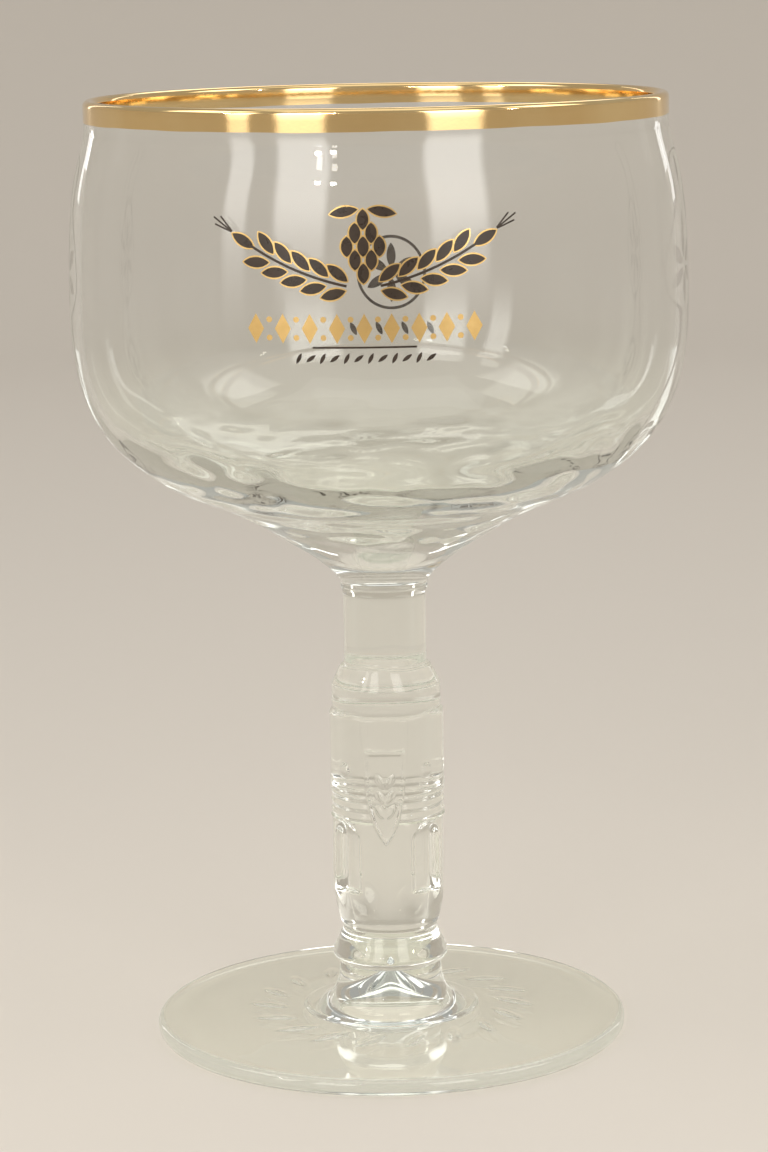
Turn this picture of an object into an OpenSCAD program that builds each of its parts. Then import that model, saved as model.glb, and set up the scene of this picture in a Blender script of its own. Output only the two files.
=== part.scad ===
// Chalice beer glass: a blown bowl, a pressed stem and a pressed foot, fused end to end,
// with a gilded lip and a fired print on the bowl. Millimetres, +Z up, origin in the middle
// of the face that the foot rests on. The main print looks along -Y.

/* [Bowl] */
// Height of the bowl, from its seat on the stem to the lip
bowl_h = 82.6; // [78:0.2:90]
// Diameter over the lip
lip_d = 96.8; // [90:0.2:100]
// Height of the straight lip that the gilding sits on
lip_h = 5; // [4.4:0.2:7]
// Thickness of the glass at the lip
lip_t = 1.7; // [1.4:0.1:2.2]
// Lean of the wall just under the lip, in degrees from upright
lip_lean = 11; // [6:0.5:14]
// Diameter of the belly, the widest place
belly_d = 103.4; // [102:0.2:110]
// Height of the belly over the bowl's seat
belly_h = 47.6; // [44:0.2:52]
// Thickness of the wall at the belly
wall_t = 2; // [1.6:0.1:2.6]
// Diameter where the hollow throat turns into the swell of the bowl
turn_d = 60.8; // [54:0.2:66]
// Height of that turn over the bowl's seat
turn_h = 15.8; // [14:0.2:18]
// Slope of the glass at that turn, in degrees from level
turn_slope = 21.7; // [18:0.1:26]
// Thickness of the glass at that turn
turn_t = 3; // [2.4:0.1:4]
// Thickness of the bowl's floor on the axis
floor_t = 6.8; // [5:0.1:9]
// Diameter of the bead at the bowl's seat
bead_d = 14.8; // [14.2:0.1:17]
// Height of the bead
bead_h = 0.6; // [0.4:0.1:1.2]

/* [Bowl curves] */
// Reach of the throat's curve, up from the bead
throat_reach = 3.1; // [2:0.1:5]
// Reach of the curves at the turn, down into the throat
turn_reach_in = 7.7; // [6:0.1:10]
// Reach of the curves at the turn, out into the swell
turn_reach_out = 17.5; // [14:0.1:20]
// Reach of the belly's curve, down the swell
belly_reach_down = 15.7; // [12:0.1:18]
// Reach of the belly's curve, up the side
belly_reach_up = 22; // [10:0.5:24]
// Reach of the side's curve, down from the lip
lip_reach = 7; // [4:0.5:9]
// Reach of the floor's curve, out from the axis
floor_reach = 7; // [5:0.1:10]

/* [Gilding] */
// Height of the gold band on the outside of the lip
gild_out_h = 3.5; // [2:0.1:4]
// Height of the gold band on the inside of the lip
gild_in_h = 2.4; // [1.5:0.1:4]
// Thickness of the gold
gild_t = 0.1; // [0.06:0.02:0.2]

/* [Stem] */
// Diameter of the round neck under the bowl
neck_d = 14; // [12:0.2:14.2]
// Height of the neck, with the flare that meets the bowl
neck_h = 13.4; // [8:0.2:16]
// Height of that flare
flare_h = 1.2; // [0.8:0.1:2]
// Width of the ledge at the top of the shoulder, round the neck
ledge_w = 0.7; // [0.3:0.1:0.8]
// Height of the sloping shoulder
shoulder_h = 3.4; // [3:0.2:7]
// Diameter of the plain band under the shoulder
band_d = 18.6; // [17:0.1:19.4]
// Height of the plain band
band_h = 4; // [2:0.1:6]
// Depth of the fine groove under the band
seam_depth = 0.2; // [0.1:0.05:0.4]
// Height of the fine groove under the band
seam_h = 0.5; // [0.3:0.1:0.8]
// Diameter of the stem's body over its corners
body_d = 20; // [19.6:0.1:20.6]
// Width of the fluted part of the body over its flats
flats_w = 18.9; // [18.5:0.1:19.2]
// Width of the upper panels over their flats
panel_w = 19.5; // [19.2:0.1:19.5]
// Number of flats round the body
flats_n = 8; // [6:1:8]
// Height of the upper panels
panel_h = 13.2; // [11:0.2:16]
// Number of ridges round the body
ridge_n = 3; // [2:1:4]
// Distance from ridge to ridge
ridge_pitch = 1.7; // [1.4:0.1:2]
// Diameter over the ridges
ridge_d = 19.5; // [19.3:0.1:20]
// Diameter in the valleys between the ridges
valley_d = 18.6; // [18:0.1:18.8]
// Height of the fluted part of the body
flute_h = 12.3; // [10:0.1:14]
// Radius of the hollow of a flute
flute_r = 6; // [5:0.5:7]
// Depth of a flute in the middle of its flat
flute_depth = 1.1; // [0.5:0.1:1.2]
// Gap between the arch of a flute and the lowest ridge
arch_gap = 0.4; // [0.4:0.1:1.5]
// Height of the taper at the body's lower end
taper_h = 6.9; // [5:0.1:9]
// Diameter at the lower end of the taper
taper_d = 16.8; // [16.4:0.1:18]
// Height of the groove over the collar
groove_h = 1.4; // [0.8:0.1:2]
// Diameter in the groove over the collar
groove_d = 16.2; // [15:0.1:16.3]
// Height of the flared collar
collar_h = 5.4; // [4:0.1:7]
// Diameter of the collar at its widest
collar_d = 19.8; // [19:0.1:22]
// Diameter of the collar's top
collar_top_d = 16.8; // [16.4:0.1:18]
// Height from the collar's seat to its widest place
collar_brim_h = 1.3; // [1:0.1:2]

/* [Shield and bosses on the stem] */
// Width of the shield
shield_w = 7; // [6:0.1:7.4]
// Height of the shield, from its straight top to its point
shield_h = 16.4; // [12:0.1:17]
// Distance from the top of the panels down to the shield
shield_drop = 5.4; // [2:0.1:6]
// Height that the shield stands over the flat
shield_lift = 0.6; // [0.4:0.05:0.8]
// Width of the shield's border
border_w = 0.7; // [0.5:0.05:1]
// Depth of the field inside the border
field_depth = 0.25; // [0.15:0.05:0.35]
// Diameter of a round boss
boss_d = 2.6; // [2:0.1:3.2]
// Height that a boss stands over its flat
boss_lift = 0.4; // [0.3:0.05:0.6]
// Distance from the top of the panels down to a boss's middle
boss_drop = 9.2; // [6:0.1:10]
// Gap between the feet of the two rows of grains on the shield
shield_grain_gap = 0.5; // [0.3:0.1:1]
// Lean of those grains, in degrees from upright
shield_grain_lean = 27; // [20:1:35]

/* [Foot] */
// Diameter of the foot
foot_d = 80.8; // [78:0.2:88]
// Thickness of the foot at its edge
edge_t = 2.8; // [2.4:0.1:3.4]
// Radius of the rounding of the edge
edge_round = 1.2; // [0.8:0.1:1.2]
// Height of the foot with its hub
foot_h = 11.8; // [11.6:0.1:14]
// Diameter of the hub's top and of the collar's seat on it
hub_d = 17.4; // [16:0.1:18]
// Diameter of the step where the hub meets the plate
step_d = 30; // [27:0.1:33]
// Height of the plate's top just outside the step
step_z = 3.8; // [3.6:0.1:4.4]
// Height of the step itself
step_h = 0.3; // [0.2:0.05:0.5]
// Reach of the hub's curve, in from the step
hub_reach_in = 5; // [3:0.1:6]
// Reach of the hub's curve, down from the collar
hub_reach_down = 4; // [3:0.1:5]
// Inner diameter of the ring that the foot rests on
rest_in_d = 74; // [68:0.5:75]
// Depth of the shallow hollow inside the resting ring
hollow_h = 0.8; // [0.4:0.1:1]
// Width of the slope from the resting ring up into the hollow
slope_w = 16; // [10:0.5:20]
// Diameter of the pointed central hollow at its mouth
cone_d = 19.4; // [16:0.2:19.6]
// Height of that hollow's tip over the table
cone_h = 11.3; // [9:0.1:11.4]
// Slope of the hollow at its tip, in degrees from level
cone_slope = 46; // [20:1:50]
// Reach of the hollow's curve, down from the tip
cone_reach = 6; // [3:0.1:6.4]
// Reach of the hollow's curve, up from the mouth
cone_swell = 3.2; // [2:0.1:6.4]

/* [Relief on the foot] */
// Number of leaves in the ring
leaf_n = 18; // [12:1:20]
// Length of a leaf
leaf_l = 9; // [7:0.1:10]
// Width of a leaf
leaf_w = 3; // [2.4:0.1:3.6]
// Turn of a leaf away from the ring's radius, in degrees
leaf_turn = 38; // [25:1:42]
// Diameter of the circle that the leaves spring from
leaf_ring_d = 35; // [33:0.5:38]
// Height that a leaf stands over the foot
leaf_lift = 0.15; // [0.1:0.05:0.4]

/* [Print] */
// Thickness of the fired colour
print_t = 0.1; // [0.06:0.02:0.2]
// Width of the gold edge round the dark shapes
edge_w = 0.24; // [0.16:0.02:0.28]
// Distance from the lip down to the ornament's middle
ornament_drop = 21.7; // [19.6:0.1:24.6]
// Length of a grain in an ear
grain_l = 4; // [3.6:0.1:4.4]
// Width of a grain
grain_w = 1.6; // [1.3:0.05:1.7]
// Distance from grain to grain along an ear
grain_pitch = 3.1; // [3:0.1:3.3]
// Number of pairs of grains in an ear
grain_rows = 5; // [4:1:6]
// Lean of a grain away from its stalk, in degrees
grain_lean = 27; // [24:1:32]
// Width of a stalk
stalk_w = 0.4; // [0.3:0.05:0.5]
// Gap from the middle of a stalk to the foot of a grain
stalk_gap = 0.75; // [0.7:0.05:0.9]
// Radius that an ear bends to
ear_bend_r = 44; // [40:0.5:50]
// Slope of an ear where it starts, in degrees
ear_start = 12; // [8:1:16]
// Distance from the ornament's middle line to the start of an ear
ear_gap = 2.6; // [2.4:0.1:3.4]
// Distance that an ear starts below the ornament's middle
ear_drop = 5; // [4:0.1:6]
// Length of the longest of an ear's bristles
bristle_l = 3.6; // [3:0.1:5]
// Width of a bristle
bristle_w = 0.25; // [0.2:0.05:0.35]
// Length of a scale of the hop cone
scale_l = 3.1; // [2.8:0.05:3.2]
// Width of a scale of the hop cone
scale_w = 1.75; // [1.5:0.05:1.8]
// Distance between two scales side by side
scale_pitch = 2.5; // [2.4:0.05:2.8]
// Distance from one row of scales to the next
scale_row = 2.05; // [2:0.05:2.2]
// Height of the hop cone's middle over the ornament's middle
hop_rise = 1; // [0.6:0.1:1.2]
// Length of the two leaves over the hop cone
hop_leaf_l = 4.4; // [3.6:0.1:5]
// Width of the two leaves over the hop cone
hop_leaf_w = 1.5; // [1.2:0.1:1.7]
// Distance from the ornament's middle down to the gold frieze's
frieze_drop = 11.5; // [10.9:0.1:12.3]
// Width of a lozenge in the frieze
lozenge_w = 2.5; // [2:0.1:2.7]
// Height of a lozenge in the frieze
lozenge_h = 4.6; // [4:0.1:5]
// Distance from lozenge to lozenge
lozenge_pitch = 4.2; // [4:0.1:4.6]
// Number of lozenges
lozenge_n = 9; // [5:2:9]
// Diameter of the dots between the lozenges
dot_d = 0.9; // [0.7:0.05:1]
// Distance from the frieze's middle to a dot's middle
dot_rise = 1.4; // [1.2:0.1:1.6]
// Distance from the ornament's middle down to the thin rule
rule_drop = 14.4; // [14.3:0.1:14.7]
// Length of the thin rule
rule_l = 16; // [10:0.5:22]
// Width of the thin rule
rule_w = 0.3; // [0.2:0.05:0.4]
// Distance from the ornament's middle down to the running leaf's
runner_drop = 16.1; // [15.9:0.1:17.3]
// Length of a leaf in the running leaf
runner_l = 1.9; // [1.5:0.1:2]
// Width of a leaf in the running leaf
runner_w = 0.6; // [0.4:0.05:0.7]
// Distance from leaf to leaf
runner_pitch = 1.85; // [1.7:0.05:2.1]
// Number of leaves in the running leaf
runner_n = 12; // [6:1:14]

/* [Print on the back] */
// Distance from the lip down to the roundel's middle
roundel_drop = 34.6; // [32.6:0.1:36.6]
// Diameter of the roundel
roundel_d = 13; // [11:0.1:14]
// Width of the roundel's line
line_w = 0.5; // [0.4:0.05:0.7]
// Number of petals in the roundel
petal_n = 6; // [4:1:7]
// Width of a petal
petal_w = 1.7; // [1.2:0.1:1.9]
// Gap between the petals and the roundel's middle or line
petal_gap = 0.8; // [0.6:0.05:1]
// Distance from the roundel's middle down to the row of leaves
row_drop = 9.8; // [9.4:0.1:10.8]
// Length of the row's leaves
row_l = 2.6; // [2:0.1:2.8]
// Width of the row's leaves
row_w = 1; // [0.8:0.05:1.2]
// Distance from leaf to leaf in the row
row_pitch = 2.4; // [2.2:0.1:2.8]
// Number of leaves in the row
row_n = 7; // [3:1:7]

/* [Hidden] */
$fn = 96;

// Colours
glass_rgb = [0.86, 0.91, 0.89, 0.45];
gold_rgb = [0.86, 0.67, 0.25];
dark_rgb = [0.16, 0.11, 0.09];

// Overrun of every cut past what it cuts
over = 1;
// Straight pieces in each curve, and in each small rounding
curve_steps = 8;
arc_steps = 6;
// Straight pieces in the swell of one ridge
ridge_steps = 6;

// Heights on the axis, from the table up
collar_z = foot_h;
groove_z = collar_z + collar_h;
taper_z = groove_z + groove_h;
flute_z = taper_z + taper_h;
ridge_z = flute_z + flute_h;
panel_z = ridge_z + ridge_n * ridge_pitch;
seam_z = panel_z + panel_h;
band_z = seam_z + seam_h;
shoulder_z = band_z + band_h;
neck_z = shoulder_z + shoulder_h;
seat_z = neck_z + neck_h;
belly_z = seat_z + belly_h;
top_z = seat_z + bowl_h;
lip_z = top_z - lip_h;
ornament_z = top_z - ornament_drop;
roundel_z = top_z - roundel_drop;

// The turn in the bowl's outline, outside and inside
turn_along = [cos(turn_slope), sin(turn_slope)];
turn_across = [-sin(turn_slope), cos(turn_slope)];
turn_out = [turn_d / 2, seat_z + turn_h];
turn_in = turn_out + turn_t * turn_across;

// Angle between two flats of the stem
flat_step = 360 / flats_n;
// The flats that have a boss above and a flute below
odd_flats = [for (i = [1:2:flats_n - 1]) i];
// Half the shield's width at heights up from its point, as shares of its width and height
shield_shares = [
    [0, 0], [0.16, 0.09], [0.29, 0.2], [0.39, 0.33], [0.45, 0.47], [0.48, 0.62],
    [0.5, 0.8], [0.5, 1], [0.25, 0.96], [0, 1]
];
// Places of the shield's grains, as shares of the height of its field
shield_row_shares = [0.26, 0.44, 0.62];
// Length and width of those grains, as shares of the shield's width
shield_grain_shares = [0.4, 0.17];
// Number of scales in each row of the hop cone, and the lean of the leaves over it
scales_in_row = [1, 2, 3, 2, 1];
hop_leaf_lean = 100;
// Bristles of an ear: their lean off the stalk's line, and their length as a share
bristle_lean = [-14, 0, 14];
bristle_shares = [0.8, 1, 0.8];

// Points after p0 on the curve from p0 to p3 that heads for p1 and comes from p2
function curve(p0, p1, p2, p3) = [
    for (i = [1:curve_steps]) let (t = i / curve_steps, s = 1 - t)
        s * s * s * p0 + 3 * s * s * t * p1 + 3 * s * t * t * p2 + t * t * t * p3
];

// Points on a round from angle a to angle b
function round_off(middle, r, a, b) = [
    for (i = [0:arc_steps]) let (turn = a + (b - a) * i / arc_steps)
        middle + r * [cos(turn), sin(turn)]
];

function reversed(points) = [for (i = [len(points) - 1:-1:0]) points[i]];

// One side of the bowl, from the turn up to the foot of the lip
function bowl_side(turn, belly_r, lip_r) = concat(
    curve(turn, turn + turn_reach_out * turn_along,
        [belly_r, belly_z - belly_reach_down], [belly_r, belly_z]),
    curve([belly_r, belly_z], [belly_r, belly_z + belly_reach_up],
        [lip_r + lip_reach * sin(lip_lean), lip_z - lip_reach * cos(lip_lean)], [lip_r, lip_z])
);

bead_top = [bead_d / 2, seat_z + bead_h];
bowl_outside = concat(
    [[bead_d / 2, seat_z], bead_top],
    curve(bead_top, bead_top + [0, throat_reach], turn_out - turn_reach_in * turn_along, turn_out),
    bowl_side(turn_out, belly_d / 2, lip_d / 2)
);
floor_top = [0, seat_z + floor_t];
bowl_inside = concat(
    [floor_top],
    curve(floor_top, floor_top + [floor_reach, 0], turn_in - turn_reach_in * turn_along, turn_in),
    bowl_side(turn_in, belly_d / 2 - wall_t, lip_d / 2 - lip_t)
);
// Middle of the lip's rounding
lip_middle = [lip_d / 2 - lip_t / 2, top_z - lip_t / 2];

// Outside radius of the bowl at a height, on the same straight pieces
side_table = [for (p = bowl_outside) if (p[1] > bead_top[1]) [p[1], p[0]]];
function side_r(z) = lookup(z, side_table);

module bowl() {
    color(glass_rgb)
    rotate_extrude()
    polygon(concat(
        [[0, seat_z]], bowl_outside, round_off(lip_middle, lip_t / 2, 0, 180),
        reversed(bowl_inside)
    ));
}

// Gold over the lip, down the outside and a little way down the inside
module rim_gilding() {
    out_r = lip_d / 2;
    in_r = out_r - lip_t;
    color(gold_rgb)
    rotate_extrude()
    polygon(concat(
        [[out_r + gild_t, top_z - gild_out_h]],
        round_off(lip_middle, lip_t / 2 + gild_t, 0, 180),
        [[in_r - gild_t, top_z - gild_in_h], [in_r, top_z - gild_in_h]],
        round_off(lip_middle, lip_t / 2, 180, 0),
        [[out_r, top_z - gild_out_h]]
    ));
}

// One ridge of the stem, as an outline that swells from the valley and falls back to it
function ridge(n) = [
    for (i = [0:ridge_steps - 1]) let (swell = pow(sin(180 * i / ridge_steps), 2))
        [valley_d / 2 + (ridge_d - valley_d) / 2 * swell, ridge_z + ridge_pitch * (n + i / ridge_steps)]
];
ridges = [for (n = [0:ridge_n - 1], p = ridge(n)) p];

brim = [collar_d / 2, collar_z + collar_brim_h];
collar_top = [collar_top_d / 2, groove_z];
collar_curve = curve(brim, brim + [0, collar_brim_h], collar_top - [0, collar_brim_h], collar_top);

module stem_round() {
    rotate_extrude()
    polygon(concat(
        [[0, collar_z], [hub_d / 2, collar_z], [(hub_d + collar_d) / 4, collar_z + collar_brim_h / 4]],
        [brim], collar_curve,
        [[groove_d / 2, groove_z], [groove_d / 2, taper_z], [taper_d / 2, taper_z]],
        [[body_d / 2, flute_z], [body_d / 2, ridge_z]], ridges,
        [[valley_d / 2, panel_z], [body_d / 2, panel_z], [body_d / 2, seam_z]],
        [[band_d / 2 - seam_depth, seam_z], [band_d / 2 - seam_depth, band_z]],
        [[band_d / 2, band_z], [band_d / 2, shoulder_z]],
        [[neck_d / 2 + ledge_w, neck_z], [neck_d / 2, neck_z]],
        [[neck_d / 2, seat_z - flare_h], [bead_d / 2, seat_z], [0, seat_z]]
    ));
}

// What is cut away outside flats of a width, from one height to another
module flats_cut(width, from_z, to_z) {
    for (i = [0:flats_n - 1])
        rotate(i * flat_step)
        translate([-body_d / 2, -body_d / 2 - over, from_z])
        cube([body_d, body_d / 2 + over - width / 2, to_z - from_z]);
}

// Hollow flutes, square below and arched above, one in every second flat
module flutes_cut() {
    // half the width of a flute on its flat, and the height of its straight stretch
    half_w = sqrt(flute_r * flute_r - pow(flute_r - flute_depth, 2));
    straight_h = flute_h - arch_gap - half_w;
    for (i = odd_flats)
        rotate(i * flat_step)
        translate([0, -(flats_w / 2 + flute_r - flute_depth), flute_z]) {
            cylinder(r = flute_r, h = straight_h);
            translate([0, 0, straight_h]) sphere(r = flute_r);
        }
}

// The shield's outline, drawn in by a border
module shield_2d(border = 0) {
    w = shield_w - 2 * border;
    h = shield_h - 2 * border;
    right = [for (s = shield_shares) [s[0] * w, s[1] * h + border]];
    left = [for (s = reversed(shield_shares)) if (s[0] > 0) [-s[0] * w, s[1] * h + border]];
    polygon(concat(right, left));
}

// A pointed leaf or grain that starts at the origin and grows along +Y
module leaf_2d(l, w, grow = 0) {
    long = l + 2 * grow;
    wide = w + 2 * grow;
    bow = (long * long + wide * wide) / (4 * wide);
    translate([0, l / 2])
    intersection() {
        translate([bow - wide / 2, 0]) circle(r = bow);
        translate([wide / 2 - bow, 0]) circle(r = bow);
    }
}

// A plain shield with an ear of grain, from inside the stem to over its front flat
module shield() {
    front = panel_w / 2 + shield_lift;
    field_h = shield_h - 2 * border_w;
    translate([0, 0, seam_z - shield_drop - shield_h])
    rotate([90, 0, 0]) {
        linear_extrude(height = front - field_depth) shield_2d();
        linear_extrude(height = front)
        difference() {
            shield_2d();
            shield_2d(border_w);
        }
        linear_extrude(height = front)
        for (s = shield_row_shares, side = [-1, 1])
            translate([side * shield_grain_gap / 2, border_w + s * field_h])
            rotate(-side * shield_grain_lean)
            leaf_2d(shield_grain_shares[0] * shield_w, shield_grain_shares[1] * shield_w);
    }
}

// Round bosses on every second flat
module bosses() {
    // radius of the ball that shows as a boss
    ball_r = (boss_d * boss_d / 4 + boss_lift * boss_lift) / (2 * boss_lift);
    for (i = odd_flats)
        rotate(i * flat_step)
        translate([0, -panel_w / 2 - boss_lift + ball_r, seam_z - boss_drop])
        sphere(r = ball_r);
}

module stem() {
    color(glass_rgb) {
        difference() {
            stem_round();
            flats_cut(flats_w, taper_z, ridge_z);
            flats_cut(panel_w, panel_z, seam_z);
            flutes_cut();
        }
        shield();
        bosses();
    }
}

edge_top = [foot_d / 2 - edge_round, edge_t - edge_round];
edge_foot = [foot_d / 2 - edge_round, edge_round];
step_foot = [step_d / 2, step_z];
step_top = [step_d / 2 - step_h, step_z + step_h];
hub_top = [hub_d / 2, foot_h];
// The pointed hollow under the stem, from its tip to its mouth
cone_tip = [0, cone_h];
cone_mouth = [cone_d / 2, hollow_h];
cone_side = curve(cone_tip, cone_tip + cone_reach * [cos(cone_slope), -sin(cone_slope)],
    cone_mouth + [0, cone_swell], cone_mouth);

module foot_round() {
    rotate_extrude()
    polygon(concat(
        [cone_tip], cone_side,
        [[rest_in_d / 2 - slope_w, hollow_h], [rest_in_d / 2, 0]],
        round_off(edge_foot, edge_round, -90, 0),
        round_off(edge_top, edge_round, 0, 90),
        [step_foot, step_top],
        curve(step_top, step_top - [hub_reach_in, 0], hub_top - [0, hub_reach_down], hub_top),
        [[0, foot_h]]
    ));
}

// Skin over the plate, as high as the leaves stand
module leaf_skin() {
    rotate_extrude()
    polygon([
        [step_foot[0], hollow_h + over / 2], [edge_top[0], hollow_h + over / 2],
        [edge_top[0], edge_t + leaf_lift], step_foot + [0, leaf_lift]
    ]);
}

module foot() {
    color(glass_rgb) {
        foot_round();
        intersection() {
            leaf_skin();
            for (i = [0:leaf_n - 1])
                rotate(i * 360 / leaf_n)
                translate([0, leaf_ring_d / 2])
                rotate(-leaf_turn)
                linear_extrude(height = foot_h) leaf_2d(leaf_l, leaf_w);
        }
    }
}

// A skin of colour on the bowl between two heights
module colour_skin(low, high) {
    levels = concat([low], [for (s = side_table) if (s[0] > low && s[0] < high) s[0]], [high]);
    rotate_extrude()
    polygon(concat(
        [for (z = levels) [side_r(z), z]],
        [for (z = reversed(levels)) [side_r(z) + print_t, z]]
    ));
}

// Prints a drawing on the front of the bowl round a height, within half a height of it
module print_front(z, half_h) {
    intersection() {
        colour_skin(z - half_h, z + half_h);
        translate([0, 0, z]) rotate([90, 0, 0]) linear_extrude(height = belly_d) children();
    }
}

// Moves along an ear's bend, so that what follows is drawn there and along it
module along_ear(l) {
    turn = l / ear_bend_r * 180 / PI;
    translate([ear_gap, -ear_drop])
    rotate(ear_start)
    translate([0, ear_bend_r])
    rotate(turn)
    translate([0, -ear_bend_r])
    children();
}

ear_l = grain_rows * grain_pitch;

module ear_grains_2d(grow = 0) {
    for (i = [0:grain_rows - 1], side = [-1, 1])
        along_ear(i * grain_pitch)
        translate([0, side * stalk_gap])
        rotate(-90 + side * grain_lean)
        leaf_2d(grain_l, grain_w, grow);
    along_ear(ear_l) rotate(-90) leaf_2d(grain_l, grain_w, grow);
}

module ear_stalk_2d() {
    for (i = [0:grain_rows - 1])
        along_ear(i * grain_pitch)
        translate([0, -stalk_w / 2])
        square([grain_pitch + stalk_w, stalk_w]);
}

module ear_bristles_2d() {
    for (i = [0:len(bristle_lean) - 1])
        along_ear(ear_l + grain_l)
        rotate(bristle_lean[i])
        translate([edge_w, -bristle_w / 2])
        square([bristle_l * bristle_shares[i], bristle_w]);
}

// A hop cone of pointed scales, with two leaves over it
module hop_2d(grow = 0) {
    rows = len(scales_in_row);
    top = hop_rise + (rows - 1) / 2 * scale_row + scale_l / 2;
    for (j = [0:rows - 1], i = [0:scales_in_row[j] - 1])
        translate([(i - (scales_in_row[j] - 1) / 2) * scale_pitch, top - scale_l - j * scale_row])
        leaf_2d(scale_l, scale_w, grow);
    for (side = [-1, 1])
        translate([side * stalk_gap, top])
        rotate(-side * hop_leaf_lean)
        leaf_2d(hop_leaf_l, hop_leaf_w, grow);
}

module ornament_2d(grow = 0) {
    for (side = [0, 1])
        mirror([side, 0]) ear_grains_2d(grow);
    hop_2d(grow);
}

// Half the height that the ornament may take
ornament_half_h = ear_l / 2;

module front_ornament() {
    color(dark_rgb)
    print_front(ornament_z, ornament_half_h) {
        ornament_2d();
        for (side = [0, 1])
            mirror([side, 0]) {
                ear_stalk_2d();
                ear_bristles_2d();
            }
    }
}

// Gold line round the grains and leaves
module front_ornament_edge() {
    color(gold_rgb)
    print_front(ornament_z, ornament_half_h)
    difference() {
        ornament_2d(edge_w);
        ornament_2d();
    }
}

module lozenge_2d() {
    polygon([[lozenge_w / 2, 0], [0, lozenge_h / 2], [-lozenge_w / 2, 0], [0, -lozenge_h / 2]]);
}

module front_frieze() {
    color(gold_rgb)
    print_front(ornament_z - frieze_drop, lozenge_h)
    for (i = [0:lozenge_n - 1]) {
        x = (i - (lozenge_n - 1) / 2) * lozenge_pitch;
        translate([x, 0]) lozenge_2d();
        if (i > 0)
            for (side = [-1, 1])
                translate([x - lozenge_pitch / 2, side * dot_rise]) circle(d = dot_d);
    }
}

module front_rule() {
    color(dark_rgb)
    print_front(ornament_z - rule_drop, rule_w)
    square([rule_l, rule_w], center = true);
}

// Leaves that lean to and fro in a line
module front_runner() {
    color(dark_rgb)
    print_front(ornament_z - runner_drop, runner_l)
    for (i = [0:runner_n - 1])
        translate([(i - (runner_n - 1) / 2) * runner_pitch, 0])
        rotate(i % 2 == 0 ? -grain_lean : -2 * grain_lean)
        translate([0, -runner_l / 2])
        leaf_2d(runner_l, runner_w);
}

// A roundel with petals over a row of leaves, on the far side of the bowl
module back_print() {
    petal_l = roundel_d / 2 - line_w - 2 * petal_gap;
    color(dark_rgb)
    rotate(180) {
        print_front(roundel_z, roundel_d) {
            difference() {
                circle(d = roundel_d);
                circle(d = roundel_d - 2 * line_w);
            }
            for (i = [0:petal_n - 1])
                rotate(i * 360 / petal_n)
                translate([0, petal_gap])
                leaf_2d(petal_l, petal_w);
        }
        print_front(roundel_z - row_drop, row_l)
        for (i = [0:row_n - 1])
            translate([(i - (row_n - 1) / 2) * row_pitch, 0])
            rotate(-grain_lean)
            translate([0, -row_l / 2])
            leaf_2d(row_l, row_w);
    }
}

bowl();
stem();
foot();
rim_gilding();
front_ornament();
front_ornament_edge();
front_frieze();
front_rule();
front_runner();
back_print();
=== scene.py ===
import math

import bmesh
import bpy
import numpy as np
from mathutils import Matrix, Vector


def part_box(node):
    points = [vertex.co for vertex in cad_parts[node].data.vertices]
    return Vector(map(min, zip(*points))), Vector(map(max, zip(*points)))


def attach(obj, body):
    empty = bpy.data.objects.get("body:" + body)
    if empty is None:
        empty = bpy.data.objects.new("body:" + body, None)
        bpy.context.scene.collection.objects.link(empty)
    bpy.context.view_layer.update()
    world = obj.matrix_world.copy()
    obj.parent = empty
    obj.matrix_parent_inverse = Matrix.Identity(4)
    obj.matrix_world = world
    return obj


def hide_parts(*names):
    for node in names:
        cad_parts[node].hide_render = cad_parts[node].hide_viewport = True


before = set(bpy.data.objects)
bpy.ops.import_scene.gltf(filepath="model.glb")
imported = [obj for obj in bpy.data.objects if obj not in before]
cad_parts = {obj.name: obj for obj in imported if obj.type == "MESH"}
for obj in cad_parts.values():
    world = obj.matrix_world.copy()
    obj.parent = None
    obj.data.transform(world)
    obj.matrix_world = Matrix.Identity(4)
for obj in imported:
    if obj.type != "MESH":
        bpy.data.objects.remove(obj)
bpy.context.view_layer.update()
millimetre = 0.001
steps = 384         # faces round the axis, the same on every glass piece so that the joins close
touch = 0.01        # millimetres within which two heights count as the same
weld = 1e-7         # metres within which two points are one
glassSharp = 60     # degrees over which an edge of the glass is drawn sharp


def boxHeights(node):
    low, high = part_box(node)
    return low.z / millimetre, high.z / millimetre


seatZ, topZ = boxHeights("bowl")
collarZ = boxHeights("stem")[0]

# Outlines. Sizes are millimetres and degrees in the pieces' dictionaries, metres in the looks and the studio.


def bezier(p0, p1, p2, p3, count):
    t = np.linspace(0, 1, count + 1)[1:, None]
    s = 1 - t
    p0, p1, p2, p3 = (np.array(p, float) for p in (p0, p1, p2, p3))
    return s ** 3 * p0 + 3 * s * s * t * p1 + 3 * s * t * t * p2 + t ** 3 * p3


def straight(p0, p1, count):
    t = np.linspace(0, 1, count + 1)[1:, None]
    return np.array(p0, float) * (1 - t) + np.array(p1, float) * t


def arc(middle, radius, start, end, count):
    a = np.radians(np.linspace(start, end, count + 1))
    return np.stack([middle[0] + radius * np.cos(a), middle[1] + radius * np.sin(a)], 1)


def smoothStep(low, high, x):
    t = np.clip((x - low) / (high - low), 0, 1)
    return t * t * (3 - 2 * t)


def softMin(a, b, width):
    h = np.clip(0.5 + 0.5 * (b - a) / width, 0, 1)
    return b * (1 - h) + a * h - width * h * (1 - h)


def ringWave(angle, waves):
    # waves is rows of height, count round the axis and phase
    return sum(height * np.sin(count * angle + phase) for height, count, phase in waves)


# Meshes


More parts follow.
